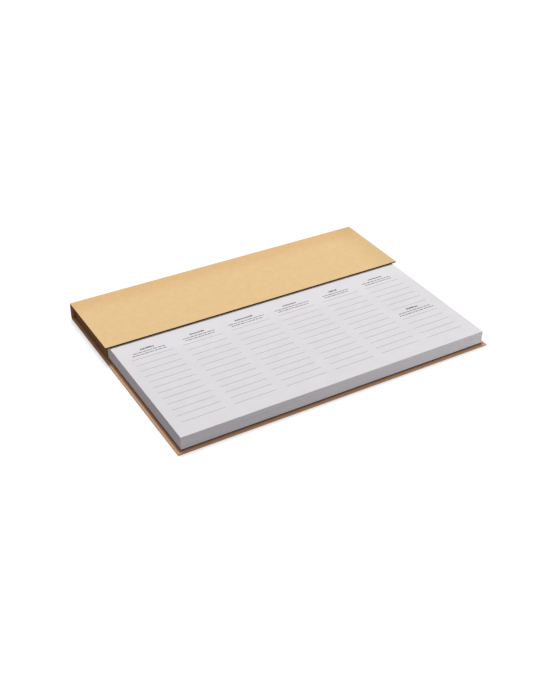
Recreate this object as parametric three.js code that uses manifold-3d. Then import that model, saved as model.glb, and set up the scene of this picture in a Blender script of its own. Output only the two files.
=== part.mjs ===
// A weekly desk planner: a kraft-covered hard case whose short top flap is hinged at the spine,
// a tear-off pad of ruled week sheets on the base board, and a covered block under the flap.
// Millimetres, +Z up, the front edge towards -Y, the spine and its hinge towards +Y.
import * as THREE from "three";
import { mergeVertices } from "three/addons/utils/BufferGeometryUtils.js";
import Module from "manifold-3d";

const wasm = await Module();
wasm.setup();

// Tear-off pad
const sheetWidth = 297;
const sheetDepth = 139;
const sheetStackHeight = 11.9;
const backingCardHeight = 0.75;
const glueStripThickness = 0.5;

// Hard case
const caseDepth = 219.5;
const sideSquare = 4.1; // how far the boards stand out past the pad at each side
const frontSquare = 3.3; // and in front of it
const boardThickness = 1.5;
const coverPaperThickness = 0.3;
const wrappedEdgeRadius = 0.4;
const boardCornerRadius = 0.8;
const liningThickness = 0.25;
const liningMargin = 2; // strip of turned-in cover paper left bare round the lining
const flapDepth = 81.8;

// Paper hinges along the spine
const hingeSetback = 1; // the base and flap boards end this far short of the spine's outer face
const hingeGap = 0.3; // running gap at the crease and between neighbouring boards
const paperLap = 3; // cover paper carried on over a board behind each hinge

// Block under the flap
const seamGap = 0.8; // open seam between the pad and the block
const blockRearGap = 0.3;
const blockEdgeRadius = 0.6;
const blockCornerRadius = 1.2;
const flapRestGap = 0.3;

// Printed week on the top sheet
const dayColumns = 6;
const columnWidth = 38.4;
const columnPitch = 48.2;
const ruledLines = 12;
const ruledLinePitch = 8.43;
const lastRuledLineFromFront = 16.5;
const ruledLineWidth = 0.35;
const headingAboveLine = 11.8;
const headingLength = 12.4;
const headingHeight = 1.9;
const noteLinesAboveLine = [7.8, 4.5];
const noteLineLengths = [30, 33];
const noteLineHeight = 0.9;
const secondHeadingLine = 7; // ruled line left out of the last column for its second day
const printRelief = 0.1;

// Facets on rounded edges, corners and folds
const edgeSegments = 3;
const cornerSegments = 4;
const profileSegments = 8;
const foldSegments = 6;
const weldDistance = 1e-4;

// Places worked out from the sizes above
const caseWidth = sheetWidth + 2 * sideSquare;
const caseFront = -caseDepth / 2;
const caseRear = caseDepth / 2;
const boardRear = caseRear - hingeSetback;
const spineFront = caseRear - boardThickness;
const liningTop = boardThickness + liningThickness;
const padFront = caseFront + frontSquare;
const padRear = padFront + sheetDepth;
const sheetsBottom = liningTop + backingCardHeight;
const padTop = sheetsBottom + sheetStackHeight;
const blockFront = padRear + glueStripThickness + seamGap;
const blockRear = spineFront - liningThickness - blockRearGap;
const flapLiningBottom = padTop + flapRestGap;
const flapBottom = flapLiningBottom + liningThickness;
const flapTop = flapBottom + boardThickness;
const flapFront = caseRear - flapDepth;
const spineBottom = boardThickness + hingeGap;
const spineTop = flapBottom - hingeGap;
const hingeHeight = flapBottom + boardThickness / 2;
const lowerCreaseHeight = boardThickness / 2;
const foldTurns = Array.from({ length: foldSegments }, (_, i) => ((i + 1) / foldSegments) * (Math.PI / 2));

// Paper and board finishes
const paint = (color, roughness) => new THREE.MeshStandardMaterial({ color, roughness, metalness: 0 });
const kraftCover = paint(0xe2c49a, 0.85);
const kraftLining = paint(0xd8b88c, 0.9);
const greyCard = paint(0x8f7a63, 0.95);
const planningPaper = paint(0xeeeeee, 0.8);
const padGlue = paint(0xd9d6cf, 0.6);

// A closed three.js geometry as a solid that can be joined and cut
function toSolid(geometry) {
  const bare = geometry.index ? geometry.toNonIndexed() : geometry.clone();
  bare.deleteAttribute("normal");
  bare.deleteAttribute("uv");
  const merged = mergeVertices(bare, weldDistance);
  return new wasm.Manifold(
    new wasm.Mesh({
      numProp: 3,
      vertProperties: new Float32Array(merged.attributes.position.array),
      triVerts: new Uint32Array(merged.index.array),
    }),
  );
}

// A solid as three.js geometry again
function toGeometry(solid) {
  const { vertProperties, triVerts } = solid.getMesh();
  const geometry = new THREE.BufferGeometry();
  geometry.setAttribute("position", new THREE.BufferAttribute(vertProperties, 3));
  geometry.setIndex(new THREE.BufferAttribute(triVerts, 1));
  const faceted = geometry.toNonIndexed();
  faceted.computeVertexNormals();
  return faceted;
}

// A block between two corners
function slab(x0, x1, y0, y1, z0, z1) {
  const box = new THREE.BoxGeometry(x1 - x0, y1 - y0, z1 - z0);
  return box.translate((x0 + x1) / 2, (y0 + y1) / 2, (z0 + z1) / 2);
}

// A flat panel wrapped in paper: blunt corners in plan and softly rounded edges all round
function wrappedPanel({ width, front, rear, bottom, height, corner, edge }) {
  const outline = new THREE.Shape();
  const x = width / 2;
  outline.moveTo(-x + corner, front);
  outline.lineTo(x - corner, front);
  outline.absarc(x - corner, front + corner, corner, -Math.PI / 2, 0);
  outline.lineTo(x, rear - corner);
  outline.absarc(x - corner, rear - corner, corner, 0, Math.PI / 2);
  outline.lineTo(-x + corner, rear);
  outline.absarc(-x + corner, rear - corner, corner, Math.PI / 2, Math.PI);
  outline.lineTo(-x, front + corner);
  outline.absarc(-x + corner, front + corner, corner, Math.PI, 1.5 * Math.PI);
  const panel = new THREE.ExtrudeGeometry(outline, {
    depth: height - 2 * edge,
    bevelThickness: edge,
    bevelSize: edge,
    bevelOffset: -edge,
    bevelSegments: edgeSegments,
    curveSegments: cornerSegments,
  });
  return panel.translate(0, 0, bottom + edge);
}

// A side profile in Y and Z, run along X from the left end to the right
function alongWidth(profile, width) {
  const bar = new THREE.ExtrudeGeometry(profile, {
    depth: width,
    bevelEnabled: false,
    curveSegments: profileSegments,
  });
  bar.applyMatrix4(
    new THREE.Matrix4().makeBasis(
      new THREE.Vector3(0, 1, 0),
      new THREE.Vector3(0, 0, 1),
      new THREE.Vector3(1, 0, 0),
    ),
  );
  return bar.translate(-width / 2, 0, 0);
}

// Cover paper that laps a board and turns a quarter round to the crease on the spine's outer face;
// side is 1 where it turns down from the flap and -1 where it turns up from the base
function hingePaper(surface, crease, side) {
  const reach = surface - crease;
  const inner = surface - side * coverPaperThickness;
  const profile = new THREE.Shape();
  profile.moveTo(boardRear - paperLap, surface);
  profile.lineTo(boardRear, surface);
  for (const turn of foldTurns) {
    const y = boardRear + hingeSetback * Math.sin(turn);
    profile.lineTo(y, crease + reach * Math.cos(turn));
  }
  for (const turn of [...foldTurns].reverse()) {
    const y = boardRear + (hingeSetback - coverPaperThickness) * Math.sin(turn);
    profile.lineTo(y, crease + (inner - crease) * Math.cos(turn));
  }
  profile.lineTo(boardRear - paperLap, inner);
  return alongWidth(profile, caseWidth - 2 * wrappedEdgeRadius);
}

// A covered board of the case, between its front and rear edges
const panelOf = (front, rear, bottom) =>
  toSolid(
    wrappedPanel({
      width: caseWidth,
      front,
      rear,
      bottom,
      height: boardThickness,
      corner: boardCornerRadius,
      edge: wrappedEdgeRadius,
    }),
  );

// Base board with the cover paper turning up behind it
function makeBaseBoard() {
  const board = panelOf(caseFront, boardRear, 0);
  return board.add(toSolid(hingePaper(0, lowerCreaseHeight, -1)));
}

// Flap board with the cover paper turning down behind it, ending at the hinge line
function makeFlapBoard() {
  const board = panelOf(flapFront, boardRear, flapBottom);
  return board.add(toSolid(hingePaper(flapTop, hingeHeight + hingeGap / 2, 1)));
}

// Spine board on edge, its cover paper carried on past it to both creases
function makeSpineBoard() {
  const soft = wrappedEdgeRadius;
  const profile = new THREE.Shape();
  profile.moveTo(spineFront + soft, spineBottom);
  profile.lineTo(caseRear - coverPaperThickness, spineBottom);
  profile.lineTo(caseRear - coverPaperThickness, lowerCreaseHeight);
  profile.lineTo(caseRear, lowerCreaseHeight);
  profile.lineTo(caseRear, hingeHeight - hingeGap / 2);
  profile.lineTo(caseRear - coverPaperThickness, hingeHeight - hingeGap / 2);
  profile.lineTo(caseRear - coverPaperThickness, spineTop);
  profile.lineTo(spineFront + soft, spineTop);
  profile.absarc(spineFront + soft, spineTop - soft, soft, Math.PI / 2, Math.PI);
  profile.lineTo(spineFront, spineBottom + soft);
  profile.absarc(spineFront + soft, spineBottom + soft, soft, Math.PI, 1.5 * Math.PI);
  return toSolid(alongWidth(profile, caseWidth));
}

// Lining paper on the base, folded up against the spine
function makeCaseLining() {
  const profile = new THREE.Shape();
  const inFront = spineFront - liningThickness;
  profile.moveTo(caseFront + liningMargin, boardThickness);
  profile.lineTo(spineFront, boardThickness);
  profile.lineTo(spineFront, spineTop - liningMargin);
  profile.lineTo(inFront, spineTop - liningMargin);
  profile.lineTo(inFront, liningTop);
  profile.lineTo(caseFront + liningMargin, liningTop);
  return toSolid(alongWidth(profile, caseWidth - 2 * liningMargin));
}

// Lining paper on the underside of the flap
function makeFlapLining() {
  const x = caseWidth / 2 - liningMargin;
  const rear = spineFront - hingeGap;
  return toSolid(slab(-x, x, flapFront + liningMargin, rear, flapLiningBottom, flapBottom));
}

// A block as wide as the sheets
function padSlab(y0, y1, z0, z1) {
  const x = sheetWidth / 2;
  return toSolid(slab(-x, x, y0, y1, z0, z1));
}

// Stack of sheets with the print standing a hair above the top one
function makeSheets() {
  let sheets = padSlab(padFront, padRear, sheetsBottom, padTop);
  for (const mark of printedMarks()) {
    sheets = sheets.add(mark);
  }
  return sheets;
}

// A printed bar, sunk in the top sheet by as much as it stands out
function printedBar(x0, length, y, height) {
  const low = padTop - printRelief;
  const high = padTop + printRelief;
  return toSolid(slab(x0, x0 + length, y - height / 2, y + height / 2, low, high));
}

// Ruled lines and plain bars in place of words, column by column
function printedMarks() {
  const marks = [];
  const firstColumn = -((dayColumns - 1) * columnPitch + columnWidth) / 2;
  const lineY = (n) => padFront + lastRuledLineFromFront + (ruledLines - n) * ruledLinePitch;
  const dayHeading = (columnX, y) => {
    const middle = columnX + columnWidth / 2;
    marks.push(printedBar(middle - headingLength / 2, headingLength, y + headingAboveLine, headingHeight));
    noteLinesAboveLine.forEach((above, i) => {
      const length = noteLineLengths[i];
      marks.push(printedBar(middle - length / 2, length, y + above, noteLineHeight));
    });
  };
  for (let column = 0; column < dayColumns; column += 1) {
    const columnX = firstColumn + column * columnPitch;
    const isLast = column === dayColumns - 1;
    dayHeading(columnX, lineY(1));
    if (isLast) {
      dayHeading(columnX, lineY(secondHeadingLine + 1));
    }
    for (let n = 1; n <= ruledLines; n += 1) {
      const leftOut = isLast && n === secondHeadingLine;
      if (!leftOut) {
        marks.push(printedBar(columnX, columnWidth, lineY(n), ruledLineWidth));
      }
    }
  }
  return marks;
}

// Card under the sheets
function makeBackingCard() {
  return padSlab(padFront, padRear, liningTop, sheetsBottom);
}

// Glue film that binds sheets and card along the rear edge
function makeGlueStrip() {
  return padSlab(padRear, padRear + glueStripThickness, liningTop, padTop);
}

// Covered block behind the pad that carries the flap level with it
function makeHeaderBlock() {
  return toSolid(
    wrappedPanel({
      width: sheetWidth,
      front: blockFront,
      rear: blockRear,
      bottom: liningTop,
      height: padTop - liningTop,
      corner: blockCornerRadius,
      edge: blockEdgeRadius,
    }),
  );
}

const planner = new THREE.Group();
planner.name = "weekly_desk_planner";

function place(parent, name, solid, material) {
  const mesh = new THREE.Mesh(toGeometry(solid), material);
  mesh.name = name;
  parent.add(mesh);
}

// Case, pad and block stay together; the flap turns about the hinge line
const caseGroup = new THREE.Group();
const flapGroup = new THREE.Group();
planner.add(caseGroup, flapGroup);
place(caseGroup, "base_board", makeBaseBoard(), kraftCover);
place(caseGroup, "spine_board", makeSpineBoard(), kraftCover);
place(caseGroup, "case_lining", makeCaseLining(), kraftLining);
place(caseGroup, "backing_card", makeBackingCard(), greyCard);
place(caseGroup, "planner_sheets", makeSheets(), planningPaper);
place(caseGroup, "glue_strip", makeGlueStrip(), padGlue);
place(caseGroup, "header_block", makeHeaderBlock(), kraftCover);
place(flapGroup, "flap_board", makeFlapBoard(), kraftCover);
place(flapGroup, "flap_lining", makeFlapLining(), kraftLining);

export default planner;
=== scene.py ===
import math
import random
import bmesh
import bpy
from mathutils import Matrix, Vector


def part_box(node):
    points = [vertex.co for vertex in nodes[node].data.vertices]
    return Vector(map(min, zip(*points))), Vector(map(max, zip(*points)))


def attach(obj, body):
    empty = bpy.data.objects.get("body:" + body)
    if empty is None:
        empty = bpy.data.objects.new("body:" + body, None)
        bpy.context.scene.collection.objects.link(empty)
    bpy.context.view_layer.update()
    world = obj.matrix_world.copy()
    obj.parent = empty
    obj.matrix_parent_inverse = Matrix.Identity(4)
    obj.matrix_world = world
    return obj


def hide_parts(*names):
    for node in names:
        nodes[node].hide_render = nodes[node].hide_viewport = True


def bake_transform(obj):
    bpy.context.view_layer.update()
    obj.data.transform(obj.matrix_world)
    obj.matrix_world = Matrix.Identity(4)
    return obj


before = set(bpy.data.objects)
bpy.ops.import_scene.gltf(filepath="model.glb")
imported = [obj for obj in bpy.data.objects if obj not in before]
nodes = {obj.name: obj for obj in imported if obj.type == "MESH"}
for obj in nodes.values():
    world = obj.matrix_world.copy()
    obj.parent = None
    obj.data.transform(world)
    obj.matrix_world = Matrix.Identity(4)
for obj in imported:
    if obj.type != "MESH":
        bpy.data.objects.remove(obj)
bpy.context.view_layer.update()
mm = 0.001
print("frame loaded:", len(nodes), "nodes")

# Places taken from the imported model, in metres
baseLow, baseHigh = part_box("base_board")
spineLow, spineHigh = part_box("spine_board")
flapLow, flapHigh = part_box("flap_board")
sheetsLow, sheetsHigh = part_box("planner_sheets")
printRelief = 0.1 * mm
padTop = sheetsHigh.z - printRelief


# Node materials
uncoatedShine = 0.25
evenScale = (1, 1, 1)


def newMaterial(name, roughness):
    material = bpy.data.materials.new(name)
    material.use_nodes = True
    tree = material.node_tree
    shader = tree.nodes["Principled BSDF"]
    shader.inputs["Roughness"].default_value = roughness
    shader.inputs["Specular IOR Level"].default_value = uncoatedShine
    return material, tree, shader


def addNode(tree, kind, **settings):
    node = tree.nodes.new(kind)
    for key, value in settings.items():
        if key in node.inputs:
            node.inputs[key].default_value = value
        else:
            setattr(node, key, value)
    return node


def objectPlace(tree, scale):  # the piece's own coordinates, stretched by scale
    place = addNode(tree, "ShaderNodeTexCoord")
    mapping = addNode(tree, "ShaderNodeMapping")
    mapping.inputs["Scale"].default_value = scale
    tree.links.new(place.outputs["Object"], mapping.inputs["Vector"])
    return mapping.outputs["Vector"]


def noiseField(tree, scale, size, detail):
    noise = addNode(tree, "ShaderNodeTexNoise", Scale=size, Detail=detail)
    tree.links.new(objectPlace(tree, scale), noise.inputs["Vector"])
    return noise.outputs["Fac"]


def ramp(tree, value, stops):  # stops are pairs of a position and a colour
    node = addNode(tree, "ShaderNodeValToRGB")
    while len(node.color_ramp.elements) < len(stops):
        node.color_ramp.elements.new(0.5)
    for element, (position, color) in zip(node.color_ramp.elements, stops):
        element.position = position
        element.color = (*color, 1)
    tree.links.new(value, node.inputs["Fac"])
    return node.outputs["Color"]


def multiplyNode(tree, color):  # gives the node's strength, its second colour and its result
    mix = addNode(tree, "ShaderNodeMix", data_type="RGBA", blend_type="MULTIPLY")
    tree.links.new(color, mix.inputs[6])
    return mix.inputs[0], mix.inputs[7], mix.outputs[2]


def multiplied(tree, color, strength, pattern):
    strengthInput, patternInput, result = multiplyNode(tree, color)
    strengthInput.default_value = strength
    tree.links.new(pattern, patternInput)
    return result


def paintedShadingTowards(tree, color, paintedShading):  # painted shading: a tint that grows along one axis of the piece
    parts = addNode(tree, "ShaderNodeSeparateXYZ")
    tree.links.new(objectPlace(tree, evenScale), parts.inputs["Vector"])
    reach = addNode(tree, "ShaderNodeMapRange", interpolation_type="SMOOTHSTEP")
    reach.inputs["From Min"].default_value = paintedShading["from"]
    reach.inputs["From Max"].default_value = paintedShading["to"]
    tree.links.new(parts.outputs[paintedShading["axis"]], reach.inputs["Value"])
    strengthInput, tintInput, result = multiplyNode(tree, color)
    tree.links.new(reach.outputs["Result"], strengthInput)
    tintInput.default_value = (*paintedShading["tint"], 1)
    return result


def mottled(tree, field, darkColor, lightColor, span=(0.3, 0.7)):
    return ramp(tree, field, [(span[0], darkColor), (span[1], lightColor)])


def bumpFrom(tree, shader, height, distance, strength):
    bump = addNode(tree, "ShaderNodeBump", Strength=strength, Distance=distance)
    tree.links.new(height, bump.inputs["Height"])
    tree.links.new(bump.outputs["Normal"], shader.inputs["Normal"])


# Uncoated brown kraft paper: cloudy pulp, long fibres lying mostly along the sheet, darker specks
kraftPaper = {
    "pulpDark": (0.810, 0.577, 0.285),
    "pulpLight": (0.840, 0.607, 0.309),
    "cloudSize": 120.0,
    "cloudDetail": 5.0,
    "fibreAlong": (260.0, 2300.0, 2300.0),
    "fibreAcross": (1900.0, 330.0, 1900.0),
    "fibreStops": ((0.36, 0.72), (0.5, 1.0), (0.66, 1.12)),  # position and grey level
    "fibreDetail": 2.0,
    "fibreStrength": 0.16,
    "speckSize": 620.0,
    "speckStops": ((0.06, 0.55), (0.16, 1.0)),
    "speckStrength": 0.22,
    "fibreHeight": 0.05 * mm,
    "heightDetail": 3.0,
    "bumpStrength": 0.35,
    "roughness": 0.86,
}

# Painted shade: the flap's paper is a little darker and browner towards the fold and at its right end,
# standing in for the shading of the curled flap
flapPaintedShading = [
    {"axis": "Y", "from": 82 * mm, "to": 104 * mm, "tint": (0.952, 0.888, 0.838)},
    {"axis": "X", "from": 120 * mm, "to": 150 * mm, "tint": (0.92, 0.91, 0.90)},
]


# The same paper in other shades, as factors on its colour; most of them are painted shade
kraftShades = {
    "kraftBasePaintedShade": (0.79, 0.68, 0.77),  # painted shade: the base's paper darker and redder, like kraft lying in shade
    "kraftRimPaintedShade": (0.72, 0.56, 0.62),  # painted shade on the paper round the edges of the base and the spine board
    "flapRimPaintedShade": (0.030, 0.014, 0.005),  # painted shade: the flap's edges nearly black, for the dark gap beneath them
    # painted shade: the lining is darkened for the shade at the pad's foot
    "kraftLiningPaintedShade": (0.46, 0.36, 0.40),
    "flapLining": (0.84, 0.78, 0.80),
    "kraftBlockBrownAndShade": (0.30, 0.20, 0.12),  # a browner paper on the block, darkened further as painted shade under the flap's overhang
}


def greyRamp(tree, value, stops):
    return ramp(tree, value, [(position, (level, level, level)) for position, level in stops])


def kraftMaterial(name, shade=(1.0, 1.0, 1.0), paintedShadings=()):
    k = kraftPaper
    material, tree, shader = newMaterial(name, k["roughness"])
    cloud = noiseField(tree, evenScale, k["cloudSize"], k["cloudDetail"])
    dark = tuple(c * s for c, s in zip(k["pulpDark"], shade))
    light = tuple(c * s for c, s in zip(k["pulpLight"], shade))
    color = mottled(tree, cloud, dark, light)
    for scale in (k["fibreAlong"], k["fibreAcross"]):
        streak = greyRamp(tree, noiseField(tree, scale, 1.0, k["fibreDetail"]), k["fibreStops"])
        color = multiplied(tree, color, k["fibreStrength"], streak)
    specks = addNode(tree, "ShaderNodeTexVoronoi", Scale=k["speckSize"])
    tree.links.new(objectPlace(tree, evenScale), specks.inputs["Vector"])
    speck = greyRamp(tree, specks.outputs["Distance"], k["speckStops"])
    color = multiplied(tree, color, k["speckStrength"], speck)
    for paintedShading in paintedShadings:
        color = paintedShadingTowards(tree, color, paintedShading)
    tree.links.new(color, shader.inputs["Base Color"])
    fibres = noiseField(tree, k["fibreAlong"], 1.0, k["heightDetail"])
    bumpFrom(tree, shader, fibres, k["fibreHeight"], k["bumpStrength"])
    return material


# Uncoated white writing paper: nearly even, with painted light that makes it a little lighter towards its
# binding where the sheets curl, and a very fine tooth
writingPaper = {
    "dark": (0.738, 0.738, 0.750),
    "light": (0.768, 0.768, 0.776),
    "cloudSize": 90.0,
    "cloudDetail": 4.0,
    "paintedShading": {"axis": "Y", "from": -22 * mm, "to": 26 * mm, "tint": (1.055, 1.055, 1.05)},
    "toothSize": 1500.0,
    "toothDetail": 2.0,
    "toothHeight": 0.02 * mm,
    "bumpStrength": 0.3,
    "roughness": 0.82,
}


def paperMaterial(name):
    p = writingPaper
    material, tree, shader = newMaterial(name, p["roughness"])
    cloud = noiseField(tree, evenScale, p["cloudSize"], p["cloudDetail"])
    color = mottled(tree, cloud, p["dark"], p["light"])
    tree.links.new(paintedShadingTowards(tree, color, p["paintedShading"]), shader.inputs["Base Color"])
    tooth = noiseField(tree, evenScale, p["toothSize"], p["toothDetail"])
    bumpFrom(tree, shader, tooth, p["toothHeight"], p["bumpStrength"])
    return material


# Cut edges of the stack: hair-thin darker and lighter sheets
sheetEdges = {
    "dark": (0.625, 0.615, 0.638),
    "light": (0.76, 0.75, 0.77),
    "span": (0.32, 0.62),
    "layers": (9.0, 9.0, 7200.0),
    "layerDetail": 2.0,
    "layerHeight": 0.06 * mm,
    "bumpStrength": 0.4,
    "roughness": 0.9,
}


def sheetEdgeMaterial(name):
    s = sheetEdges
    material, tree, shader = newMaterial(name, s["roughness"])
    layers = noiseField(tree, s["layers"], 1.0, s["layerDetail"])
    color = mottled(tree, layers, s["dark"], s["light"], s["span"])
    tree.links.new(color, shader.inputs["Base Color"])
    bumpFrom(tree, shader, layers, s["layerHeight"], s["bumpStrength"])
    return material


# Card, glue and ink: plain finishes, faintly mottled
plainSurface = {"detail": 4.0, "height": 0.03 * mm, "bumpStrength": 0.25}
printInk = {**plainSurface, "mottleSize": 1400.0, "roughness": 0.8}
plainFinishes = {
    # The backing card is near black: painted shade for the dark line at the pad's foot
    "backingCardFootShade": {**plainSurface, "mottleSize": 900.0, "roughness": 0.95,
                    "dark": (0.022, 0.011, 0.005), "light": (0.036, 0.019, 0.009)},
    "padGlue": {**plainSurface, "mottleSize": 260.0, "roughness": 0.45,
                "dark": (0.66, 0.63, 0.57), "light": (0.75, 0.72, 0.67)},
    "rulingInk": {**printInk, "dark": (0.31, 0.31, 0.32), "light": (0.36, 0.36, 0.37)},
    "textInk": {**printInk, "dark": (0.085, 0.085, 0.09), "light": (0.125, 0.125, 0.13)},
    "noteInk": {**printInk, "dark": (0.115, 0.115, 0.12), "light": (0.155, 0.155, 0.16)},
}


def plainMaterial(name, finish):
    material, tree, shader = newMaterial(name, finish["roughness"])
    mottle = noiseField(tree, evenScale, finish["mottleSize"], finish["detail"])
    tree.links.new(mottled(tree, mottle, finish["dark"], finish["light"]), shader.inputs["Base Color"])
    bumpFrom(tree, shader, mottle, finish["height"], finish["bumpStrength"])
    return material


materials = {
    "kraftCover": kraftMaterial("kraftCover", paintedShadings=flapPaintedShading),
    **{name: kraftMaterial(name, shade) for name, shade in kraftShades.items()},
    "sheetFace": paperMaterial("sheetFace"),
    "sheetEdge": sheetEdgeMaterial("sheetEdge"),
    **{name: plainMaterial(name, finish) for name, finish in plainFinishes.items()},
}
print("materials made:", len(materials))


# Mesh helpers
def newPiece(name, mesh, body, slot, *materialNames):
    data = bpy.data.meshes.new(name)
    bmesh.ops.recalc_face_normals(mesh, faces=mesh.faces)
    mesh.to_mesh(data)
    mesh.free()
    piece = bpy.data.objects.new(name, data)
    bpy.context.scene.collection.objects.link(piece)
    for materialName in materialNames:
        data.materials.append(materials[materialName])
    if body:
        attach(piece, body)
    return piece


def joinLoops(mesh, low, high, materialIndex):  # a band of faces between two loops of points
    count = len(low)
    for i in range(count):
        j = (i + 1) % count
        mesh.faces.new((low[i], low[j], high[j], high[i])).material_index = materialIndex


def roundedCorners(x, front, rear, radius, steps):  # a panel's outline, anticlockwise from the front left
    centres = [(-x + radius, front + radius, math.pi), (x - radius, front + radius, 1.5 * math.pi),
               (x - radius, rear - radius, 0.0), (-x + radius, rear - radius, 0.5 * math.pi)]
    points = []
    for cx, cy, start in centres:
        for i in range(steps + 1):
            turn = start + i / steps * math.pi / 2
            points.append((cx + radius * math.cos(turn), cy + radius * math.sin(turn)))
    return points


# A wrapped board: its paper rounds the edges softly and is pulled tight at the blunt corners
coveredBoard = {
    "edgeRadius": 0.55 * mm,
    "edgeSteps": 5,
    "cornerRadius": 0.9 * mm,
    "cornerSteps": 6,
    "hingeSetback": 1 * mm,  # the board ends this far in front of the case's rear
    "lapStep": 0.01 * mm,  # the cover paper's lap lies this far outside the board's face
}
narrowBoard = {"edgeRadius": 0.3 * mm, "edgeSteps": 4, "cornerRadius": 0.5 * mm, "cornerSteps": 4}
faceTurns = 2  # this many of the last soft turns have the face's paper, and the rest the rim's painted shade


def boardMesh(x, front, rear, bottom, top, board):
    mesh = bmesh.new()
    radius, steps = board["edgeRadius"], board["edgeSteps"]
    turns = [i / steps * math.pi / 2 for i in range(steps + 1)]
    rings = [(radius * (1 - math.sin(turn)), bottom + radius * (1 - math.cos(turn))) for turn in turns]
    rings += [(radius * (1 - math.cos(turn)), top - radius * (1 - math.sin(turn))) for turn in turns]
    loops = []
    for inset, z in rings:
        corner = board["cornerRadius"] - inset
        outline = roundedCorners(x - inset, front + inset, rear - inset, corner, board["cornerSteps"])
        loops.append([mesh.verts.new((px, py, z)) for px, py in outline])
    rimTop = len(loops) - 1 - faceTurns
    for level, (low, high) in enumerate(zip(loops, loops[1:])):
        joinLoops(mesh, low, high, int(level < rimTop))
    mesh.faces.new(loops[-1])
    mesh.faces.new(list(reversed(loops[0])))
    return mesh


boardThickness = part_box("case_lining")[0].z
boardRear = spineHigh.y - coveredBoard["hingeSetback"]
lapStep = coveredBoard["lapStep"]
flapCover = newPiece(
    "flap_cover",
    boardMesh(flapHigh.x, flapLow.y, boardRear, flapLow.z, flapHigh.z - lapStep, coveredBoard),
    "flap", "kraft_cover", "kraftCover", "flapRimPaintedShade")
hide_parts("flap_board")
baseCover = newPiece(
    "base_cover",
    boardMesh(baseHigh.x, baseLow.y, boardRear, lapStep, boardThickness, coveredBoard),
    "case", "kraft_cover", "kraftBasePaintedShade", "kraftRimPaintedShade")
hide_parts("base_board")
print("boards covered")


# Spine board on edge, and the cover paper that runs round it to both boards
spinePaper = {
    "thickness": 0.3 * mm,
    "lap": 6 * mm,
    "sideMargin": 0.4 * mm,
    "coreGap": 0.3 * mm,  # between the spine board's edges and the other boards
    "steps": 14,
    "across": 24,
}


def stripMesh(path, normals, thickness, x, across):  # a sheet of paper along a side path
    mesh = bmesh.new()
    rows = []
    for offset in (0.0, thickness):
        row = []
        for (y, z), (ny, nz) in zip(path, normals):
            xs = [-x + 2 * x * i / across for i in range(across + 1)]
            row.append([mesh.verts.new((px, y - ny * offset, z - nz * offset)) for px in xs])
        rows.append(row)
    outer, inner = rows
    last = len(path) - 1
    for i in range(last):
        for j in range(across):
            mesh.faces.new((outer[i][j], outer[i][j + 1], outer[i + 1][j + 1], outer[i + 1][j]))
            mesh.faces.new((inner[i][j], inner[i + 1][j], inner[i + 1][j + 1], inner[i][j + 1]))
        mesh.faces.new((outer[i][0], outer[i + 1][0], inner[i + 1][0], inner[i][0]))
        mesh.faces.new((outer[i][across], inner[i][across], inner[i + 1][across], outer[i + 1][across]))
    for j in range(across):
        mesh.faces.new((outer[0][j], inner[0][j], inner[0][j + 1], outer[0][j + 1]))
        mesh.faces.new((outer[last][j], outer[last][j + 1], inner[last][j + 1], inner[last][j]))
    return mesh


def foldPath(side, surface, crease, low):  # up the spine's face and round onto a board's face
    s = spinePaper
    rear = spineHigh.y
    path = [(rear, low + (crease - low) * i / s["steps"]) for i in range(s["steps"])]
    normals = [(1.0, 0.0)] * s["steps"]
    reach = abs(surface - crease)
    for i in range(s["steps"] + 1):
        turn = i / s["steps"] * math.pi / 2
        path.append((rear - reach * (1 - math.cos(turn)), crease + side * reach * math.sin(turn)))
        normals.append((math.cos(turn), side * math.sin(turn)))
    path.append((rear - reach - s["lap"], surface))
    normals.append((0.0, float(side)))
    return path, normals


def foldPaper(name, body, side, surface, crease):
    s = spinePaper
    middle = (baseHigh.z + flapLow.z) / 2
    path, normals = foldPath(side, surface, crease, middle)
    mesh = stripMesh(path, normals, s["thickness"], baseHigh.x - s["sideMargin"], s["across"])
    return newPiece(name, mesh, body, "kraft_cover", "kraftCover")


hingePaper = foldPaper("hinge_paper", None, 1, flapHigh.z, flapHigh.z - boardThickness / 2)
foldPaper("base_fold_paper", "case", -1, 0.0, boardThickness / 2)
spineCore = newPiece(
    "spine_core",
    boardMesh(spineHigh.x, spineLow.y, spineHigh.y - spinePaper["thickness"],
              boardThickness + spinePaper["coreGap"], flapLow.z - spinePaper["coreGap"], narrowBoard),
    "case", "kraft_cover", "kraftCover", "kraftRimPaintedShade")
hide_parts("spine_board")
print("spine and hinge paper made")


# Stack of sheets: cut edges in fine uneven bunches, and a flat top sheet
sheetStack = {
    "bunches": 30,
    "along": 60,
    "across": 30,
    "jitter": 0.09 * mm,
    "wander": 0.10 * mm,
    "waveStep": 0.11,  # how fast the wander changes from point to point
    "waveShift": 0.12,  # and from bunch to bunch
    "phaseRange": 6.28,
    "seed": 11,
}


def sheetOutline():  # points round one sheet, each with its direction inwards
    s = sheetStack
    x, front, rear = sheetsHigh.x, sheetsLow.y, sheetsHigh.y
    corners = [(-x, front), (x, front), (x, rear), (-x, rear)]
    points = []
    for side, (inX, inY) in enumerate([(0, 1), (-1, 0), (0, -1), (1, 0)]):
        (x0, y0), (x1, y1) = corners[side], corners[(side + 1) % 4]
        steps = s["across"] if side % 2 else s["along"]
        for i in range(steps):
            points.append((x0 + (x1 - x0) * i / steps, y0 + (y1 - y0) * i / steps, inX, inY))
    return points


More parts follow.
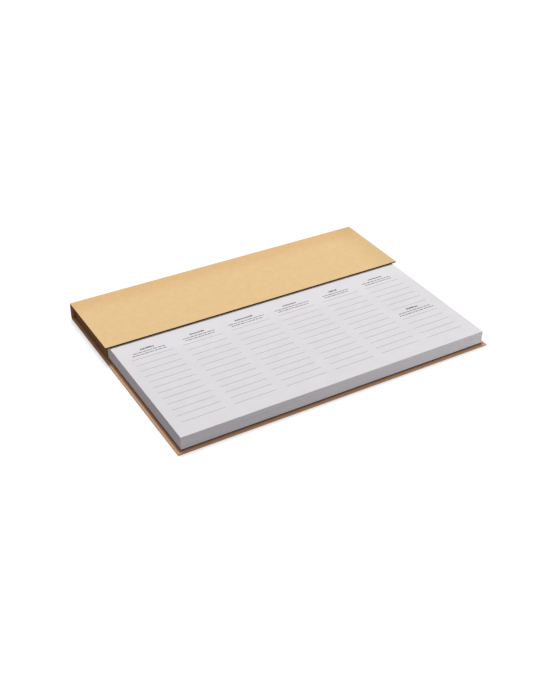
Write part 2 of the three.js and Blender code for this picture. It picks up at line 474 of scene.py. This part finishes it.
def stackMesh():
    s = sheetStack
    draw = random.Random(s["seed"])
    mesh = bmesh.new()
    outline = sheetOutline()
    levels = s["bunches"] * 2
    loops = []
    for level in range(levels + 1):
        z = sheetsLow.z + (padTop - sheetsLow.z) * level / levels
        inset = draw.uniform(0, s["jitter"]) if level % 2 else 0.0
        phase = draw.uniform(0, s["phaseRange"])
        loop = []
        for n, (px, py, inX, inY) in enumerate(outline):
            wave = (1 + math.sin(n * s["waveStep"] + phase * s["waveShift"])) / 2
            drift = inset + s["wander"] * wave * (level % 2)
            loop.append(mesh.verts.new((px + inX * drift, py + inY * drift, z)))
        loops.append(loop)
    for low, high in zip(loops, loops[1:]):
        joinLoops(mesh, low, high, 1)
    mesh.faces.new(list(reversed(loops[0]))).material_index = 1
    mesh.faces.new(loops[-1]).material_index = 0
    return mesh


sheets = newPiece("sheet_stack", stackMesh(), "case", "planner_paper", "sheetFace", "sheetEdge")
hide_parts("planner_sheets")
print("sheets stacked")


# Printed week: thin ruled lines, with upright strokes for the day's name and dashes for the notes
weekPrint = {
    "columns": 6,
    "columnWidth": 38.6 * mm,
    "columnPitch": 47.5 * mm,
    "leftOfMiddle": 1.3 * mm,
    "lines": 12,
    "linePitch": 8.43 * mm,
    "lastLineFromFront": 16.3 * mm,
    "lineWidth": 0.35 * mm,
    "secondHeadingLine": 7,  # the last column's second day stands in place of this line
    "headingAbove": 12.2 * mm,
    "heading": {"low": 1.5 * mm, "tall": 2.2 * mm, "stroke": 0.95 * mm, "pitch": 1.3 * mm},
    "noteHeight": 0.85 * mm,
    "notesAbove": (8.1 * mm, 5.0 * mm),
    # Widths of the heading and of its two note rows in mm, day by day
    "dayRows": [(12.8, 30, 33.5), (14.0, 31, 28.5), (18.8, 36, 33), (15.0, 36, 32), (9.8, 28, 27.5),
                (15.5, 34, 31), (13.0, 35.5, 38)],
    "dash": (1.6 * mm, 4.6 * mm),  # shortest and longest
    "space": 0.75 * mm,
    "inkHeight": 0.03 * mm,
    "seed": 5,
}


def inkBar(mesh, x0, length, y, height):
    w = weekPrint
    x1, y0, y1 = x0 + length, y - height / 2, y + height / 2
    corners = [(x0, y0), (x1, y0), (x1, y1), (x0, y1)]
    bottom = [mesh.verts.new((px, py, padTop - w["inkHeight"])) for px, py in corners]
    top = [mesh.verts.new((px, py, padTop + w["inkHeight"])) for px, py in corners]
    mesh.faces.new(list(reversed(bottom)))
    mesh.faces.new(top)
    joinLoops(mesh, bottom, top, 0)


def columnStarts():
    w = weekPrint
    first = -((w["columns"] - 1) * w["columnPitch"] + w["columnWidth"]) / 2 - w["leftOfMiddle"]
    return [first + i * w["columnPitch"] for i in range(w["columns"])]


def lineY(number):
    w = weekPrint
    return sheetsLow.y + w["lastLineFromFront"] + (w["lines"] - number) * w["linePitch"]


def rulingMesh():
    w = weekPrint
    mesh = bmesh.new()
    for column, start in enumerate(columnStarts()):
        for number in range(1, w["lines"] + 1):
            if column == w["columns"] - 1 and number == w["secondHeadingLine"]:
                continue
            inkBar(mesh, start, w["columnWidth"], lineY(number), w["lineWidth"])
    return mesh


def dashedRow(mesh, draw, middleX, length, y):
    w = weekPrint
    x = middleX - length / 2
    end = middleX + length / 2
    while x < end - w["dash"][0]:
        dash = min(draw.uniform(*w["dash"]), end - x)
        inkBar(mesh, x, dash, y, w["noteHeight"])
        x += dash + w["space"]


def headedDays():  # each day's middle, its first ruled line and the widths of its three rows
    w = weekPrint
    places = [(start + w["columnWidth"] / 2, 1) for start in columnStarts()]
    places.append((places[-1][0], w["secondHeadingLine"] + 1))
    rows = [[length * mm for length in row] for row in w["dayRows"]]
    return [(middleX, number, row) for (middleX, number), row in zip(places, rows)]


def headingMesh():
    w, h = weekPrint, weekPrint["heading"]
    draw = random.Random(w["seed"])
    mesh = bmesh.new()
    for middleX, number, (length, _, _) in headedDays():
        foot = lineY(number) + w["headingAbove"] - h["tall"] / 2
        x = middleX - length / 2
        while x + h["stroke"] <= middleX + length / 2:
            height = draw.choice([h["low"], h["low"], h["tall"]])
            inkBar(mesh, x, h["stroke"], foot + height / 2, height)
            x += h["pitch"]
    return mesh


def noteMesh():
    w = weekPrint
    draw = random.Random(w["seed"] + 1)
    mesh = bmesh.new()
    for middleX, number, (_, *rows) in headedDays():
        for above, length in zip(w["notesAbove"], rows):
            dashedRow(mesh, draw, middleX, length, lineY(number) + above)
    return mesh


newPiece("ruled_lines", rulingMesh(), "case", "print_ink", "rulingInk")
newPiece("heading_marks", headingMesh(), "case", "print_ink", "textInk")
newPiece("note_marks", noteMesh(), "case", "print_ink", "noteInk")
print("week printed")

# CAD pieces that keep their shape and get their finish here
finishes = {"case_lining": "kraftLiningPaintedShade", "flap_lining": "flapLining", "header_block": "kraftBlockBrownAndShade",
            "backing_card": "backingCardFootShade", "glue_strip": "padGlue"}
for nodeName, materialName in finishes.items():
    nodes[nodeName].data.materials.clear()
    nodes[nodeName].data.materials.append(materials[materialName])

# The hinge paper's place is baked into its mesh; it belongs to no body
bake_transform(hingePaper)

# Floor, light and camera
studio = {
    "floorSize": 2.4,
    "floorDrop": 0.05 * mm,  # keeps the floor clear of the paper that lies on it
    "floorGlow": 0.64,  # the white that the camera sees whatever the light
    "floorShown": (0.46, 0.46, 0.46),
    "floorBounce": (0.37, 0.34, 0.36),
    "worldLight": (1.0, 0.92, 0.97),
    "worldStrength": 0.33,
    "lamps": {
        "key": {"place": (0.55, 1.66, 4.64), "size": 1.1, "power": 161.0, "color": (1.0, 1.0, 1.0)},
        "fill": {"place": (0.6, -0.58, 0.11), "size": 0.21, "power": 1.93, "color": (0.94, 1.0, 0.97)},
    },
}


def connectLooks(tree, output, unseen, seen):  # one shader for the light, the other where it shows
    path = addNode(tree, "ShaderNodeLightPath")
    looking = addNode(tree, "ShaderNodeMath", operation="MAXIMUM")
    choice = addNode(tree, "ShaderNodeMixShader")
    tree.links.new(path.outputs["Is Camera Ray"], looking.inputs[0])
    tree.links.new(path.outputs["Is Glossy Ray"], looking.inputs[1])
    tree.links.new(looking.outputs[0], choice.inputs[0])
    tree.links.new(unseen.outputs[0], choice.inputs[1])
    tree.links.new(seen.outputs[0], choice.inputs[2])
    tree.links.new(choice.outputs[0], output.inputs["Surface"])


def makeFloor():
    s = studio
    mesh = bmesh.new()
    half = s["floorSize"] / 2
    corners = ((-half, -half), (half, -half), (half, half), (-half, half))
    mesh.faces.new([mesh.verts.new((x, y, -s["floorDrop"])) for x, y in corners])
    data = bpy.data.meshes.new("floor")
    mesh.to_mesh(data)
    mesh.free()
    floor = bpy.data.objects.new("floor", data)
    bpy.context.scene.collection.objects.link(floor)
    material = bpy.data.materials.new("floorWhite")
    material.use_nodes = True
    tree = material.node_tree
    tree.nodes.clear()
    output = addNode(tree, "ShaderNodeOutputMaterial")
    bounce = addNode(tree, "ShaderNodeBsdfDiffuse", Color=(*s["floorBounce"], 1))
    shown = addNode(tree, "ShaderNodeBsdfDiffuse", Color=(*s["floorShown"], 1))
    glow = addNode(tree, "ShaderNodeEmission", Color=(1, 1, 1, 1), Strength=s["floorGlow"])
    both = addNode(tree, "ShaderNodeAddShader")
    tree.links.new(shown.outputs[0], both.inputs[0])
    tree.links.new(glow.outputs[0], both.inputs[1])
    connectLooks(tree, output, bounce, both)
    data.materials.append(material)


def makeWorld():
    s = studio
    world = bpy.data.worlds.new("studio")
    bpy.context.scene.world = world
    world.use_nodes = True
    tree = world.node_tree
    tree.nodes.clear()
    output = addNode(tree, "ShaderNodeOutputWorld")
    light = addNode(tree, "ShaderNodeBackground", Color=(*s["worldLight"], 1), Strength=s["worldStrength"])
    white = addNode(tree, "ShaderNodeBackground", Color=(1, 1, 1, 1), Strength=1.0)
    connectLooks(tree, output, light, white)


def makeLamps():
    for name, settings in studio["lamps"].items():
        lamp = bpy.data.lights.new(name, "AREA")
        lamp.size = settings["size"]
        lamp.energy = settings["power"]
        lamp.color = settings["color"]
        holder = bpy.data.objects.new(name, lamp)
        bpy.context.scene.collection.objects.link(holder)
        place = Vector(settings["place"])
        aim = (-place).to_track_quat("-Z", "Y").to_matrix().to_4x4()
        holder.matrix_world = Matrix.Translation(place) @ aim


# The photo's camera, from the fit to the planner's edges; angles in radians
view = {
    "place": (-0.4004, -0.64865, 0.51344),
    "yaw": 0.54616,
    "pitch": 0.61086,
    "roll": -0.02152,
    "focalPixels": 1019.4,
    "pictureHeight": 700,
    "sensor": 36.0,  # mm
}


def makeCamera():
    v = view
    yaw, pitch, roll = v["yaw"], v["pitch"], v["roll"]
    forward = Vector((math.sin(yaw) * math.cos(pitch), math.cos(yaw) * math.cos(pitch), -math.sin(pitch)))
    level = Vector((math.cos(yaw), -math.sin(yaw), 0))
    down = forward.cross(level)
    right = math.cos(roll) * level + math.sin(roll) * down
    rolledDown = math.cos(roll) * down - math.sin(roll) * level
    data = bpy.data.cameras.new("camera")
    data.sensor_width = v["sensor"]
    data.lens = v["focalPixels"] * v["sensor"] / v["pictureHeight"]
    camera = bpy.data.objects.new("camera", data)
    bpy.context.scene.collection.objects.link(camera)
    turned = Matrix((right, -rolledDown, -forward)).transposed().to_4x4()
    camera.matrix_world = Matrix.Translation(Vector(v["place"])) @ turned
    bpy.context.scene.camera = camera


makeFloor()
makeWorld()
makeLamps()
makeCamera()
bpy.context.scene.view_settings.view_transform = "Standard"
print("studio ready")
